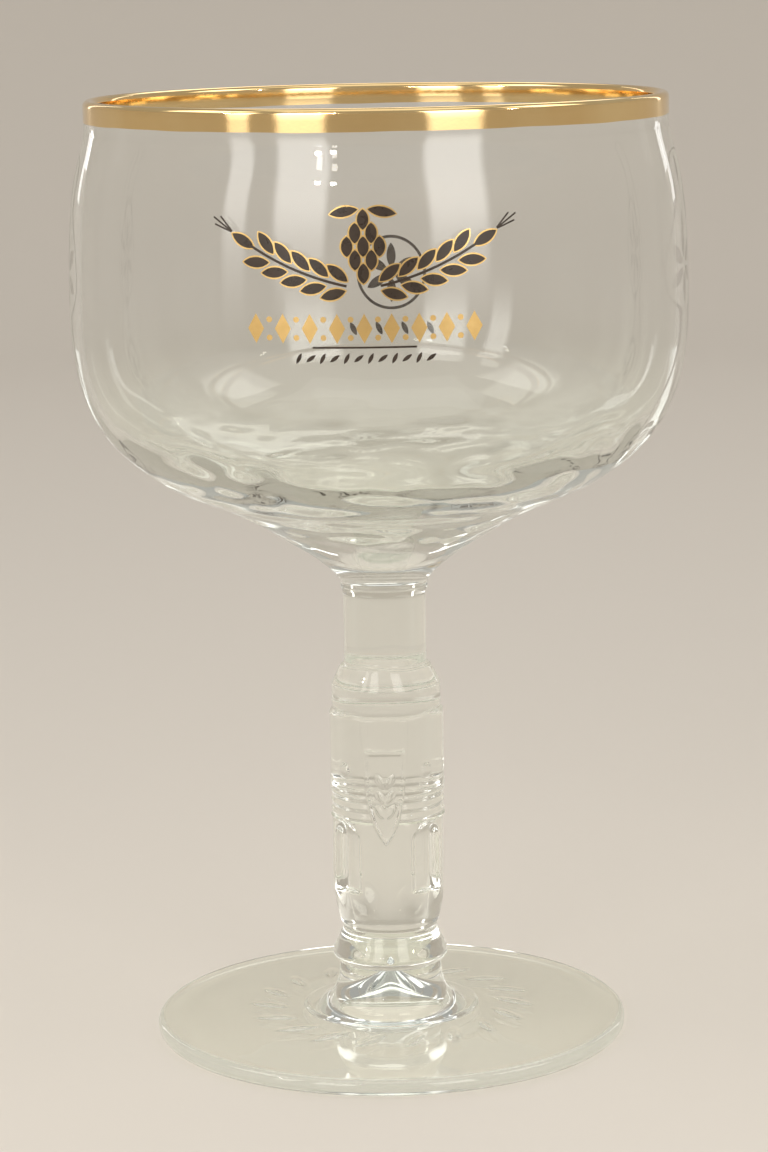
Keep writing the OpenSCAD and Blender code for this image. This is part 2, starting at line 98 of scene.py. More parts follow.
def finishMesh(name, verts, faces, sharpOver=35):
    mesh = bpy.data.meshes.new(name)
    bm = bmesh.new()
    made = [bm.verts.new(v) for v in verts]
    for f in faces:
        bm.faces.new([made[i] for i in f])
    bmesh.ops.remove_doubles(bm, verts=bm.verts, dist=weld)
    bmesh.ops.recalc_face_normals(bm, faces=bm.faces)
    bm.to_mesh(mesh)
    bm.free()
    mesh.shade_smooth()
    mesh.set_sharp_from_angle(angle=math.radians(sharpOver))
    piece = bpy.data.objects.new(name, mesh)
    bpy.context.scene.collection.objects.link(piece)
    return piece


def lathe(name, outline, bend=None, closed=False, sharpOver=35):
    # outline is rows of radius and height. bend gets each point's angle, radius and height, and gives how
    # far it moves along the outline's normal.
    r, z = outline[:, 0], outline[:, 1]
    angle = np.linspace(0, 2 * math.pi, steps, endpoint=False)
    if closed:
        dr, dz = np.roll(r, -1) - np.roll(r, 1), np.roll(z, -1) - np.roll(z, 1)
    else:
        dr, dz = np.gradient(r), np.gradient(z)
    length = np.hypot(dr, dz)
    nr, nz = dz / length, -dr / length
    rr = np.repeat(r[:, None], steps, 1)
    zz = np.repeat(z[:, None], steps, 1)
    if bend is not None:
        shift = bend(angle[None, :], rr, zz)
        shift[r == 0] = 0
        rr = rr + shift * nr[:, None]
        zz = zz + shift * nz[:, None]
    x, y = rr * np.cos(angle), rr * np.sin(angle)
    verts, rows = [], []
    for i in range(len(r)):
        if r[i] == 0:
            rows.append([len(verts)] * steps)
            verts.append((0, 0, zz[i, 0] * millimetre))
        else:
            rows.append(list(range(len(verts), len(verts) + steps)))
            verts.extend(np.stack([x[i], y[i], zz[i]], 1) * millimetre)
    faces = []
    for i in range(len(rows) if closed else len(rows) - 1):
        a, b = rows[i], rows[(i + 1) % len(rows)]
        for j in range(steps):
            k = (j + 1) % steps
            ring = [a[j], a[k], b[k], b[j]]
            faces.append(list(dict.fromkeys(ring)))
    return finishMesh(name, verts, faces, sharpOver)


# Shader maths as Python expressions


class Wire:
    def __init__(self, surface, socket):
        self.surface = surface
        self.socket = socket

    def __add__(self, other):
        return self.surface.join("ADD", self, other)

    __radd__ = __add__

    def __mul__(self, other):
        return self.surface.join("MULTIPLY", self, other)

    __rmul__ = __mul__


class Surface:
    # the nodes of a new material, or of a lamp

    def __init__(self, name, lamp=None):
        self.owner = lamp or bpy.data.materials.new(name)
        self.owner.use_nodes = True
        self.tree = self.owner.node_tree
        self.tree.nodes.clear()
        self.output = self.tree.nodes.new("ShaderNodeOutputLight" if lamp else "ShaderNodeOutputMaterial")

    def join(self, operation, a, b):
        return self.add("ShaderNodeMath", {"operation": operation}, {0: a, 1: b})

    def add(self, kind, settings=None, values=None, out=0):
        node = self.tree.nodes.new(kind)
        for key, value in (settings or {}).items():
            setattr(node, key, value)
        for key, value in (values or {}).items():
            if isinstance(value, Wire):
                self.tree.links.new(value.socket, node.inputs[key])
            else:
                node.inputs[key].default_value = value
        return Wire(self, node.outputs[out])

    def mixColour(self, factor, a, b):
        return self.add("ShaderNodeMix", {"data_type": "RGBA"}, {"Factor": factor, 6: a, 7: b}, out=2)

    def noise(self, scale, detail):
        place = self.add("ShaderNodeTexCoord", out="Object")
        return self.add("ShaderNodeTexNoise", {}, {"Vector": place, "Scale": scale, "Detail": detail})

    def soft(self, value, low, high):
        return self.add("ShaderNodeMapRange", {"interpolation_type": "SMOOTHSTEP"}, {
            "Value": value, "From Min": low, "From Max": high})

    def height(self):
        place = self.add("ShaderNodeTexCoord", out="Object")
        return self.add("ShaderNodeSeparateXYZ", {}, {0: place}, out=2)

    def show(self, shader):
        self.tree.links.new(shader.socket, self.output.inputs["Surface"])
        return self.owner


# Materials

glassLook = dict(
    tintThin=(0.985, 0.992, 0.986, 1),      # what passes the thin upper wall
    tintThick=(0.955, 0.976, 0.932, 1),     # and the thick glass lower down
    thinFrom=0.128, thickFrom=0.1,          # heights over the table
    ior=1.5, roughness=0.0,
    rippleScale=55, rippleHeight=0.00012, rippleStrength=0.25,
    shadowPass=0.88,                        # share of a lamp's light that glass lets through to the floor
    turns=1.5,                              # light that has turned in the wall more often than this leaves it
    freedTint=(0.965, 0.982, 0.97, 1),      # and takes this tint along
)


def clearGlass():
    look = glassLook
    s = Surface("clearGlass")
    thick = s.add("ShaderNodeMapRange", {"interpolation_type": "SMOOTHSTEP"}, {
        "Value": s.height(), "From Min": look["thickFrom"], "From Max": look["thinFrom"],
        "To Min": 1.0, "To Max": 0.0})
    tint = s.mixColour(thick, look["tintThin"], look["tintThick"])
    ripple = s.add("ShaderNodeBump", {}, {
        "Strength": look["rippleStrength"], "Distance": look["rippleHeight"],
        "Height": s.noise(look["rippleScale"], 1)})
    glass = s.add("ShaderNodeBsdfPrincipled", {}, {
        "Base Color": tint, "Roughness": look["roughness"], "IOR": look["ior"],
        "Transmission Weight": 1.0, "Normal": ripple})
    through = s.add("ShaderNodeBsdfTransparent", {}, {"Color": (1, 1, 1, 1)})
    freed = s.add("ShaderNodeBsdfTransparent", {}, {"Color": look["freedTint"]})
    shadow = s.add("ShaderNodeLightPath", out="Is Shadow Ray")
    depth = s.add("ShaderNodeLightPath", out="Glossy Depth")
    deep = s.join("GREATER_THAN", depth, look["turns"])
    clear = s.add("ShaderNodeMixShader", {}, {0: deep, 1: glass, 2: freed})
    return s.show(s.add("ShaderNodeMixShader", {}, {0: shadow * look["shadowPass"], 1: clear, 2: through}))


def fusedFace():
    # Where two pieces are fused there is no surface, so the faces there let everything pass.
    s = Surface("fusedFace")
    return s.show(s.add("ShaderNodeBsdfTransparent", {}, {"Color": (1, 1, 1, 1)}))


goldLook = dict(
    colours=((1.0, 0.78, 0.42, 1), (0.86, 0.58, 0.25, 1)), metallic=1, roughness=0.05, wear=0.12,
    speckled=True, cloudScale=90, grainScale=2200, grainStrength=0.05, grainHeight=0.00005,
)
printedLook = dict(
    colours=((0.86, 0.62, 0.28, 1), (0.62, 0.4, 0.14, 1)), metallic=1, roughness=0.22, wear=0.2,
    speckled=False, cloudScale=420, grainScale=5200, grainStrength=0.12, grainHeight=0.00003,
)
enamelLook = dict(
    colours=((0.018, 0.012, 0.009, 1), (0.055, 0.034, 0.02, 1)), metallic=0, roughness=0.2, wear=0.18,
    speckled=False, cloudScale=600, grainScale=4200, grainStrength=0.15, grainHeight=0.00003,
)


def thinFilm(name, look):
    # gold or enamel. A slow noise moves its colour and its roughness, and a fine one raises its grain.
    s = Surface(name)
    cloud = s.noise(look["cloudScale"], 3)
    grain = s.noise(look["grainScale"], 2)
    worn = cloud * grain if look["speckled"] else cloud
    bump = s.add("ShaderNodeBump", {}, {
        "Strength": look["grainStrength"], "Distance": look["grainHeight"], "Height": grain})
    return s.show(s.add("ShaderNodeBsdfPrincipled", {}, {
        "Base Color": s.mixColour(cloud, *look["colours"]), "Metallic": look["metallic"],
        "Roughness": look["roughness"] + look["wear"] * worn, "Normal": bump}))


floorLook = dict(colour=(0.74, 0.69, 0.63, 1), roughness=0.5, gloss=0.08)


def paleFloor():
    look = floorLook
    s = Surface("paleFloor")
    return s.show(s.add("ShaderNodeBsdfPrincipled", {}, {
        "Base Color": look["colour"], "Roughness": look["roughness"], "Specular IOR Level": look["gloss"]}))


glass, fused = clearGlass(), fusedFace()
gold, printGold = thinFilm("brightGold", goldLook), thinFilm("printedGold", printedLook)
enamel = thinFilm("darkEnamel", enamelLook)
print("materials made")


def dressGlass(piece):
    # flat faces on the planes where pieces are fused get the second material
    piece.data.materials.append(glass)
    piece.data.materials.append(fused)
    for face in piece.data.polygons:
        height = face.center.z / millimetre
        if abs(face.normal.z) > 0.999 and min(abs(height - collarZ), abs(height - seatZ)) < touch:
            face.material_index = 1


# Bowl

bowl = dict(
    lipD=96.8, lipH=5, lipT=1.7, lipLean=11, bellyD=103.4, bellyH=47.6, wallT=2,
    turnD=60.8, turnH=15.8, turnSlope=21.7, turnT=3, floorT=6.8, beadD=14.8, beadH=0.6,
    throatReach=3.1, turnReachIn=7.7, turnReachOut=17.5, bellyReachDown=15.7, bellyReachUp=22,
    lipReach=7, floorReach=7,
    wave=0.42, outerWave=0.18,                          # height of the waves inside, and the outside's share
    waveIn=8, waveFull=17, waveFade=34, waveOut=50,     # radii where they begin, are full, fade and end
)
# The waves that make it up: height, then count round the axis, turn for each millimetre of radius, and phase.
# The last two rows are products of two such waves, and the fine one begins further out.
waves = dict(
    slow=((0.5, (3, 0.21, 0.6)), (0.42, (7, -0.34, 2.1)), (0.3, (11, 0.5, 4.4)), (0.22, (17, -0.27, 1.2)),
          (0.2, (2, 1.3, 0))),
    crossed=(0.3, (2, 0.8, 0), (5, 0, 1.7)),
    fine=(0.25, (27, 0.35, 0), (4, 0, 0.5)), fineIn=26, fineFull=36,
)
bellyZ = seatZ + bowl["bellyH"]
lipZ = topZ - bowl["lipH"]
slope = math.radians(bowl["turnSlope"])
along = np.array([math.cos(slope), math.sin(slope)])
across = np.array([-math.sin(slope), math.cos(slope)])
turnOut = np.array([bowl["turnD"] / 2, seatZ + bowl["turnH"]])
turnIn = turnOut + bowl["turnT"] * across


def bowlSide(turn, bellyR, lipR, low, high):
    lean = math.radians(bowl["lipLean"])
    return np.concatenate([
        bezier(turn, turn + bowl["turnReachOut"] * along,
               (bellyR, bellyZ - bowl["bellyReachDown"]), (bellyR, bellyZ), low),
        bezier((bellyR, bellyZ), (bellyR, bellyZ + bowl["bellyReachUp"]),
               (lipR + bowl["lipReach"] * math.sin(lean), lipZ - bowl["lipReach"] * math.cos(lean)),
               (lipR, lipZ), high)])


beadR = bowl["beadD"] / 2
beadTop = np.array([beadR, seatZ + bowl["beadH"]])
lipMiddle = (bowl["lipD"] / 2 - bowl["lipT"] / 2, topZ - bowl["lipT"] / 2)
outside = np.concatenate([
    [beadTop],
    bezier(beadTop, beadTop + (0, bowl["throatReach"]), turnOut - bowl["turnReachIn"] * along, turnOut, 34),
    bowlSide(turnOut, bowl["bellyD"] / 2, bowl["lipD"] / 2, 50, 30)])
floorTop = np.array([0, seatZ + bowl["floorT"]])
inside = np.concatenate([
    [floorTop],
    bezier(floorTop, floorTop + (bowl["floorReach"], 0), turnIn - bowl["turnReachIn"] * along, turnIn, 38),
    bowlSide(turnIn, bowl["bellyD"] / 2 - bowl["wallT"], bowl["lipD"] / 2 - bowl["lipT"], 50, 28)])
seatRows = 3
outsideRows = 1 + seatRows + len(outside)       # rows of the bowl's outline from the axis to the lip


def sideRadius(z):
    return np.interp(z, outside[:, 1], outside[:, 0])


def winding(angle, r, shape):
    count, turn, phase = shape
    return np.sin(count * angle + turn * r + phase)


def bowlBend(angle, r, z):
    # slow waves that wind round the thick lower glass, stronger inside than outside
    b, w = bowl, waves
    strong = smoothStep(b["waveIn"], b["waveFull"], r) * (1 - smoothStep(b["waveFade"], b["waveOut"], r))
    wave = sum(height * winding(angle, r, shape) for height, shape in w["slow"])
    for (height, first, second), begin in (
            (w["crossed"], 1), (w["fine"], smoothStep(w["fineIn"], w["fineFull"], r))):
        wave = wave + height * begin * winding(angle, r, first) * winding(angle, r, second)
    inner = np.arange(len(r))[:, None] > outsideRows
    return strong * (z < bellyZ) * wave * b["wave"] * np.where(inner, 1.0, b["outerWave"])


def makeBowl():
    base = straight((0, seatZ), (beadR, seatZ), seatRows)
    outline = np.concatenate([
        [(0, seatZ)], base, outside,
        straight(outside[-1], (bowl["lipD"] / 2, lipMiddle[1]), 4)[:-1],
        arc(lipMiddle, bowl["lipT"] / 2, 0, 180, 14),
        straight((inside[-1][0], lipMiddle[1]), inside[-1], 4)[:-1], inside[::-1]])
    piece = lathe("bowlGlass", outline, bowlBend, sharpOver=glassSharp)
    dressGlass(piece)
    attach(piece, "root")
    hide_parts("bowl")


makeBowl()
print("bowl made")

# Gilding on the lip

gilding = dict(outH=3.5, inH=2.4, thick=0.1, sunk=0.03, edgeReach=0.05,
               wavers=((0.042, 5, 1), (0.035, 13, 2), (0.021, 29, 0)))


def makeGilding():
    outR, half = bowl["lipD"] / 2, bowl["lipT"] / 2
    inR = outR - bowl["lipT"]
    t, sunk = gilding["thick"], gilding["sunk"]
    lowOut, lowIn = topZ - gilding["outH"], topZ - gilding["inH"]
    outline = np.concatenate([
        [(outR + t, lowOut)], straight((outR + t, lowOut), (outR + t, lipMiddle[1]), 3)[:-1],
        arc(lipMiddle, half + t, 0, 180, 20), [(inR - t, lowIn), (inR + sunk, lowIn)],
        arc(lipMiddle, half - sunk, 180, 0, 20), [(outR - sunk, lowOut)]])
    piece = lathe("goldBand", outline, closed=True, sharpOver=50)
    # the band's edges waver a little, as a brushed line does
    co = np.array([v.co[:] for v in piece.data.vertices])
    turn = np.arctan2(co[:, 1], co[:, 0])
    edge = co[:, 2] < (lowIn + gilding["edgeReach"]) * millimetre
    co[:, 2] += np.where(edge, ringWave(turn, gilding["wavers"]) * millimetre, 0)
    piece.data.vertices.foreach_set("co", co.ravel())
    piece.data.materials.append(gold)
    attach(piece, "root")
    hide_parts("rim_gilding")


makeGilding()
print("gilding made")

# Stem

stem = dict(
    neckD=14, flareH=1.2, ledgeW=0.7, shoulderH=3.4, bandD=18.6, bandH=4, seamDepth=0.2, seamH=0.5,
    bodyD=20, panelW=19.5, flatsW=18.9, flats=8, panelH=13.2,
    ridges=3, ridgePitch=1.7, ridgeD=19.5, valleyD=18.6,
    fluteH=12.3, fluteR=6, fluteDepth=1.1, fluteSoft=0.35, fluteFoot=(-0.2, 0.25), archGap=0.4,
    taperH=6.9, taperD=16.8, grooveH=1.4, grooveD=16.2,
    collarH=5.4, collarD=19.8, collarTopD=16.8, collarBrimH=1.3, hubD=17.4,
    cutFoot=0.5, cutEdge=0.4, cutSeam=(-0.3, 0.1),      # heights over which the flats run out
    soften=0.16, softReach=0.8, softFlat=0.5,           # rounding that pressing and fire polishing leave
    endReach=0.6, scanStep=0.02, scanPast=3,            # heights in which the profile is softened
    wavers=((0.16, 2, 2.2), (0.112, 5, 0.8)),           # waves of the neck's foot, how far from its middle
    waverFull=0.8, waverReach=3, waverRise=0.4,         # they are full and end, and how high that middle is
)
# how close the stem's rows of points are, and where round the neck's foot they are finest
stemSteps = dict(row=0.27, fine=0.1, neck=0.9, under=0.5, over=1.3, flare=1, last=0.05)
shield = dict(
    w=7, h=16.4, drop=5.4, lift=0.6, border=0.7, field=0.25, pointSlope=0.9,
    edge=(-0.12, 0.22), borderSoft=0.15,
    grainRows=(0.26, 0.44, 0.62), grainGap=0.5, grainLean=27, grainL=2.8, grainW=1.2, grainEdge=0.25,
    stalkShare=0.6, stalkHalf=(0.3, 0.1), stalkFoot=(1.8, 2.6), stalkTop=(0.72, 0.66),
)
# the shield's half outline from its point up, in shares of its width and height
shieldShares = [(0, 0), (0.16, 0.09), (0.29, 0.2), (0.39, 0.33), (0.45, 0.47), (0.48, 0.62), (0.5, 0.8),
                (0.5, 1)]
boss = dict(d=2.6, lift=0.4, drop=9.2)

grooveZ = collarZ + stem["collarH"]
taperZ = grooveZ + stem["grooveH"]
fluteZ = taperZ + stem["taperH"]
ridgeZ = fluteZ + stem["fluteH"]
panelZ = ridgeZ + stem["ridges"] * stem["ridgePitch"]
seamZ = panelZ + stem["panelH"]
bandZ = seamZ + stem["seamH"]
shoulderZ = bandZ + stem["bandH"]
neckZ = shoulderZ + stem["shoulderH"]


def stemProfile(z):
    s = stem
    brimZ = collarZ + s["collarBrimH"]
    brim, collarTop = (s["collarD"] / 2, brimZ), (s["collarTopD"] / 2, grooveZ)
    points = np.concatenate([
        [(s["hubD"] / 2, collarZ), ((s["hubD"] + s["collarD"]) / 4, collarZ + s["collarBrimH"] / 4), brim],
        bezier(brim, (brim[0], brimZ + s["collarBrimH"]), (collarTop[0], grooveZ - s["collarBrimH"]),
               collarTop, 12),
        [(s["grooveD"] / 2, grooveZ + touch), (s["grooveD"] / 2, taperZ - touch), (s["taperD"] / 2, taperZ),
         (s["bodyD"] / 2, fluteZ), (s["bodyD"] / 2, seamZ - touch),
         (s["bandD"] / 2 - s["seamDepth"], seamZ), (s["bandD"] / 2 - s["seamDepth"], bandZ - touch),
         (s["bandD"] / 2, bandZ), (s["bandD"] / 2, shoulderZ)],
        arc((s["neckD"] / 2 + s["ledgeW"], neckZ + s["ledgeW"]), s["ledgeW"], 270, 180, 8),
        [(s["neckD"] / 2, seatZ - s["flareH"]), (beadR, seatZ)]])
    fine = np.arange(collarZ - s["scanPast"], seatZ + s["scanPast"], s["scanStep"])
    r = np.interp(fine, points[:, 1], points[:, 0])
    swell = np.sin(math.pi * (fine - ridgeZ) / s["ridgePitch"]) ** 2
    ridged = (s["valleyD"] + (s["ridgeD"] - s["valleyD"]) * swell) / 2
    r = np.where((fine > ridgeZ) & (fine < panelZ), ridged, r)
    count = round(s["softReach"] / s["scanStep"])
    reach = np.arange(-count, count + 1) * s["scanStep"]
    weight = np.exp(-(reach / s["soften"]) ** 2 / 2)
    smooth = np.convolve(r, weight / weight.sum(), "same")
    # the ends stay exact, where the bowl and the foot are fused on
    keep = smoothStep(0, s["endReach"], fine - collarZ) * smoothStep(0, s["endReach"], seatZ - fine)
    return np.interp(z, fine, r * (1 - keep) + smooth * keep)


def shieldHeight(u, z):
    # how far the shield's surface stands over the flat, and where the shield is
    s = shield
    lowZ = seamZ - s["drop"] - s["h"]
    shares = np.array(shieldShares)
    half = np.interp((z - lowZ) / s["h"], shares[:, 1], shares[:, 0]) * s["w"]
    rim = np.minimum(half - np.abs(u), np.minimum(lowZ + s["h"] - z, (z - lowZ) * s["pointSlope"]))
    mask = smoothStep(*s["edge"], rim)
    fieldMask = smoothStep(s["border"] - s["borderSoft"], s["border"] + s["borderSoft"], rim)
    grain = np.zeros_like(u)
    for row in s["grainRows"]:
        for side in (-1, 1):
            a = math.radians(side * s["grainLean"])
            du = u - side * s["grainGap"] / 2
            dz = z - (lowZ + s["border"] + row * (s["h"] - 2 * s["border"]))
            l = du * math.sin(a) + dz * math.cos(a)
            w = du * math.cos(a) - dz * math.sin(a)
            grain = np.maximum(grain, leafInside(l, w, s["grainL"], s["grainW"], s["grainEdge"]))
    stalk = smoothStep(*s["stalkHalf"], np.abs(u)) * smoothStep(*s["stalkFoot"], z - lowZ) \
        * smoothStep(*s["stalkTop"], (z - lowZ) / s["h"])
    grain = np.maximum(grain, s["stalkShare"] * stalk)
    return s["lift"] - s["field"] * fieldMask * (1 - grain), mask


def leafInside(l, w, length, width, edge):
    # 1 inside a pointed leaf that lies along l from 0, falling to 0 over its edge
    bow = (length * length + width * width) / (4 * width)
    reach = np.sqrt(np.maximum(bow * bow - (l - length / 2) ** 2, 0)) - (bow - width / 2)
    return smoothStep(0, edge, reach - np.abs(w)) * (l > 0) * (l < length)


def stemRadius(angle, z):
    s = stem
    # the neck's foot wavers a little, where the glass was drawn
    near = smoothStep(s["waverReach"], s["waverFull"], np.abs(z - neckZ - s["waverRise"]))
    base = stemProfile(z + near * ringWave(angle, s["wavers"]))
    flatStep = 2 * math.pi / s["flats"]
    turn = angle + math.pi / 2
    side = np.round(turn / flatStep)
    off = turn - side * flatStep
    halfFlat = np.where(z > ridgeZ, s["panelW"], s["flatsW"]) / 2
    cut = smoothStep(0, s["cutFoot"], z - taperZ) * smoothStep(0, s["cutEdge"], ridgeZ - z) \
        + smoothStep(0, s["cutEdge"], z - panelZ) * smoothStep(*s["cutSeam"], seamZ - z)
    faceted = softMin(base, halfFlat / np.cos(off), s["softFlat"])
    r = base * (1 - cut) + np.minimum(base, faceted) * cut
    # flutes in every second flat, between the shields
    centre = halfFlat + s["fluteR"] - s["fluteDepth"]
    halfW = math.sqrt(s["fluteR"] ** 2 - (s["fluteR"] - s["fluteDepth"]) ** 2)
    rise = np.maximum(z - (ridgeZ - s["archGap"] - halfW), 0)
    inner = s["fluteR"] ** 2 - rise ** 2 - (centre * np.sin(off)) ** 2
    # beside a flute, bodyD stands for a radius outside the stem
    hollow = np.where(inner > 0, centre * np.cos(off) - np.sqrt(np.maximum(inner, 0)), s["bodyD"])
    scooped = np.minimum(r, softMin(r, hollow, s["fluteSoft"]))
    inFlute = smoothStep(*s["fluteFoot"], z - fluteZ) * (side % 2 == 1) * (z < ridgeZ)
    r = r * (1 - inFlute) + scooped * inFlute
    # bosses on every second flat
    seat = s["panelW"] / 2
    ball = (boss["d"] ** 2 / 4 + boss["lift"] ** 2) / (2 * boss["lift"])
    away = (seat * np.tan(off)) ** 2 + (z - (seamZ - boss["drop"])) ** 2
    cap = np.sqrt(np.maximum(ball ** 2 - away, 0)) - (ball - boss["lift"])
    r = r + np.where((side % 2 == 1) & (cap > 0), cap, 0)
    # the shield on the front flat
    lift, mask = shieldHeight(seat * np.tan(off), z)
    raised = (seat + lift) / np.cos(off)
    mask = mask * (side % s["flats"] == 0)
    return r * (1 - mask) + np.maximum(r, raised) * mask


def stemRows():
    # close together at the neck's foot, and far apart along the plain neck
    s = stemSteps
    marks = [collarZ, neckZ - s["under"], neckZ + s["over"], seatZ - stem["flareH"] - s["flare"], seatZ]
    rows = [np.arange(low, high - s["last"], step) for low, high, step in zip(
        marks, marks[1:], (s["row"], s["fine"], s["neck"], s["row"]))]
    return np.concatenate(rows + [[seatZ]])


def makeStem():
    z = stemRows()
    angle = np.linspace(0, 2 * math.pi, steps, endpoint=False)
    a, zz = np.meshgrid(angle, z)
    r = stemRadius(a, zz)
    r[0] = stem["hubD"] / 2
    r[-1] = beadR
    middle = r.mean(1)
    outline = np.concatenate([
        [(0, collarZ)], straight((0, collarZ), (middle[0], collarZ), 3)[:-1], np.stack([middle, z], 1),
        straight((middle[-1], seatZ), (0, seatZ), 3)])
    piece = lathe("stemGlass", outline, sharpOver=glassSharp)
    co = np.array([v.co[:] for v in piece.data.vertices])
    turn = np.arctan2(co[:, 1], co[:, 0]) % (2 * math.pi)
    far = np.hypot(co[:, 0], co[:, 1])
    height = co[:, 2] / millimetre
    body = np.flatnonzero((height > collarZ + touch) & (height < seatZ - touch))
    real = stemRadius(turn[body], height[body]) * millimetre
    co[body, 0] *= real / far[body]
    co[body, 1] *= real / far[body]
    piece.data.vertices.foreach_set("co", co.ravel())
    dressGlass(piece)
    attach(piece, "root")
    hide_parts("stem")


makeStem()
print("stem made")

# Foot

foot = dict(
    d=80.8, edgeT=2.8, edgeRound=1.2, hubD=17.4, stepD=30, stepZ=3.8, stepH=0.3,
    hubReachIn=5, hubReachDown=4, restInD=74, hollowH=0.8, slopeW=16,
    coneD=19.4, coneH=11.3, coneSlope=46, coneReach=6, coneSwell=3.2,
    leaves=18, leafL=9, leafW=3, leafTurn=38, leafRingD=35, leafLift=0.15, leafEdge=1.3,
    veinDepth=0.08, veinHalf=(0.35, 0.1), topReach=0.4,
)


def footRelief(angle, r, z):
    f = foot
    up = z > f["edgeT"] - f["topReach"]
    x, y = r * np.cos(angle), r * np.sin(angle)
    high = np.zeros_like(x)
    turn = math.radians(-f["leafTurn"])
    for i in range(f["leaves"]):
        a = 2 * math.pi * i / f["leaves"]
        # into the leaf's own lines: l along it, w across it
        px = x * math.cos(a) + y * math.sin(a)
        py = -x * math.sin(a) + y * math.cos(a) - f["leafRingD"] / 2
        l = -px * math.sin(turn) + py * math.cos(turn)
        w = px * math.cos(turn) + py * math.sin(turn)
        leaf = leafInside(l, w, f["leafL"], f["leafW"], f["leafEdge"])
        vein = f["veinDepth"] * smoothStep(*f["veinHalf"], np.abs(w)) * leaf
        high = np.maximum(high, f["leafLift"] * leaf - vein)
    return high * up * (r > f["stepD"] / 2)


def makeFoot():
    f = foot
    tip, mouth = np.array([0, f["coneH"]]), np.array([f["coneD"] / 2, f["hollowH"]])
    tipSlope = math.radians(f["coneSlope"])
    edgeR = f["d"] / 2 - f["edgeRound"]
    step = np.array([f["stepD"] / 2, f["stepZ"]])
    stepTop = step + (-f["stepH"], f["stepH"])
    hub = np.array([f["hubD"] / 2, collarZ])
    plateEdge = (edgeR, f["edgeT"])
    outline = np.concatenate([
        [tip],
        bezier(tip, tip + f["coneReach"] * np.array([math.cos(tipSlope), -math.sin(tipSlope)]),
               mouth + (0, f["coneSwell"]), mouth, 26),
        straight(mouth, (f["restInD"] / 2 - f["slopeW"], f["hollowH"]), 12),
        straight((f["restInD"] / 2 - f["slopeW"], f["hollowH"]), (f["restInD"] / 2, 0), 10),
        straight((f["restInD"] / 2, 0), (edgeR, 0), 4),
        arc((edgeR, f["edgeRound"]), f["edgeRound"], -90, 0, 8)[1:],
        arc((edgeR, f["edgeT"] - f["edgeRound"]), f["edgeRound"], 0, 90, 8),
        straight(plateEdge, step, 84), straight(step, stepTop, 3),
        bezier(stepTop, stepTop - (f["hubReachIn"], 0), hub - (0, f["hubReachDown"]), hub, 26),
        straight(hub, (0, collarZ), 3)])
    piece = lathe("footGlass", outline, footRelief, sharpOver=glassSharp)
    dressGlass(piece)
    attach(piece, "root")
    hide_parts("foot")


makeFoot()
print("foot made")

# Prints. Each shape is drawn flat, as a grid of points, and laid on the bowl's side as a thin slab.


def move(x, y):
    return np.array([[1, 0, x], [0, 1, y], [0, 0, 1]], float)


def turned(degrees):
    c, s = math.cos(math.radians(degrees)), math.sin(math.radians(degrees))
    return np.array([[c, -s, 0], [s, c, 0], [0, 0, 1]], float)


flip = np.diag([-1.0, 1, 1])


def leafSides(length, width, grow, count):
    l, w = length + 2 * grow, width + 2 * grow
    bow = (l * l + w * w) / (4 * w)
    y = np.linspace(-l / 2, l / 2, count + 1)
    half = np.sqrt(np.maximum(bow * bow - y * y, 0)) - (bow - w / 2)
    return np.maximum(half, 0), y + length / 2


def leafGrid(length, width, count=14, across=4):
    half, y = leafSides(length, width, 0, count)
    t = np.linspace(-1, 1, across + 1)
    return np.stack([half[:, None] * t, np.repeat(y[:, None], across + 1, 1)], 2)


def leafRing(length, width, grow, under=0.04, count=14):
    # a line round a leaf, from just under its edge out to grow
    loops = []
    for g in (-under, grow):
        half, y = leafSides(length, width, g, count)
        loops.append(np.concatenate([np.stack([half, y], 1), np.stack([-half, y], 1)[::-1][1:-1]]))
    return np.stack(loops, 1)


def ringGrid(inner, outer, count=72):
    a = np.linspace(0, 2 * math.pi, count, endpoint=False)
    circle = np.stack([np.cos(a), np.sin(a)], 1)
    return np.stack([circle * inner, circle * outer], 1)


def discGrid(radius, count=8):
    t = np.linspace(-1, 1, count + 1)
    u, v = np.meshgrid(t, t)
    return np.stack([u * np.sqrt(1 - v * v / 2), v * np.sqrt(1 - u * u / 2)], 2) * radius


def lozengeGrid(width, height, count=6):
    t = np.linspace(-0.5, 0.5, count + 1)
    u, v = np.meshgrid(t, t)
    return np.stack([(u - v) * width / 2, (u + v) * height / 2], 2)


def barGrid(length, width, count):
    x = np.linspace(-length / 2, length / 2, count + 1)
    return np.stack([np.stack([x, np.full_like(x, s * width / 2)], 1) for s in (-1, 1)], 1)


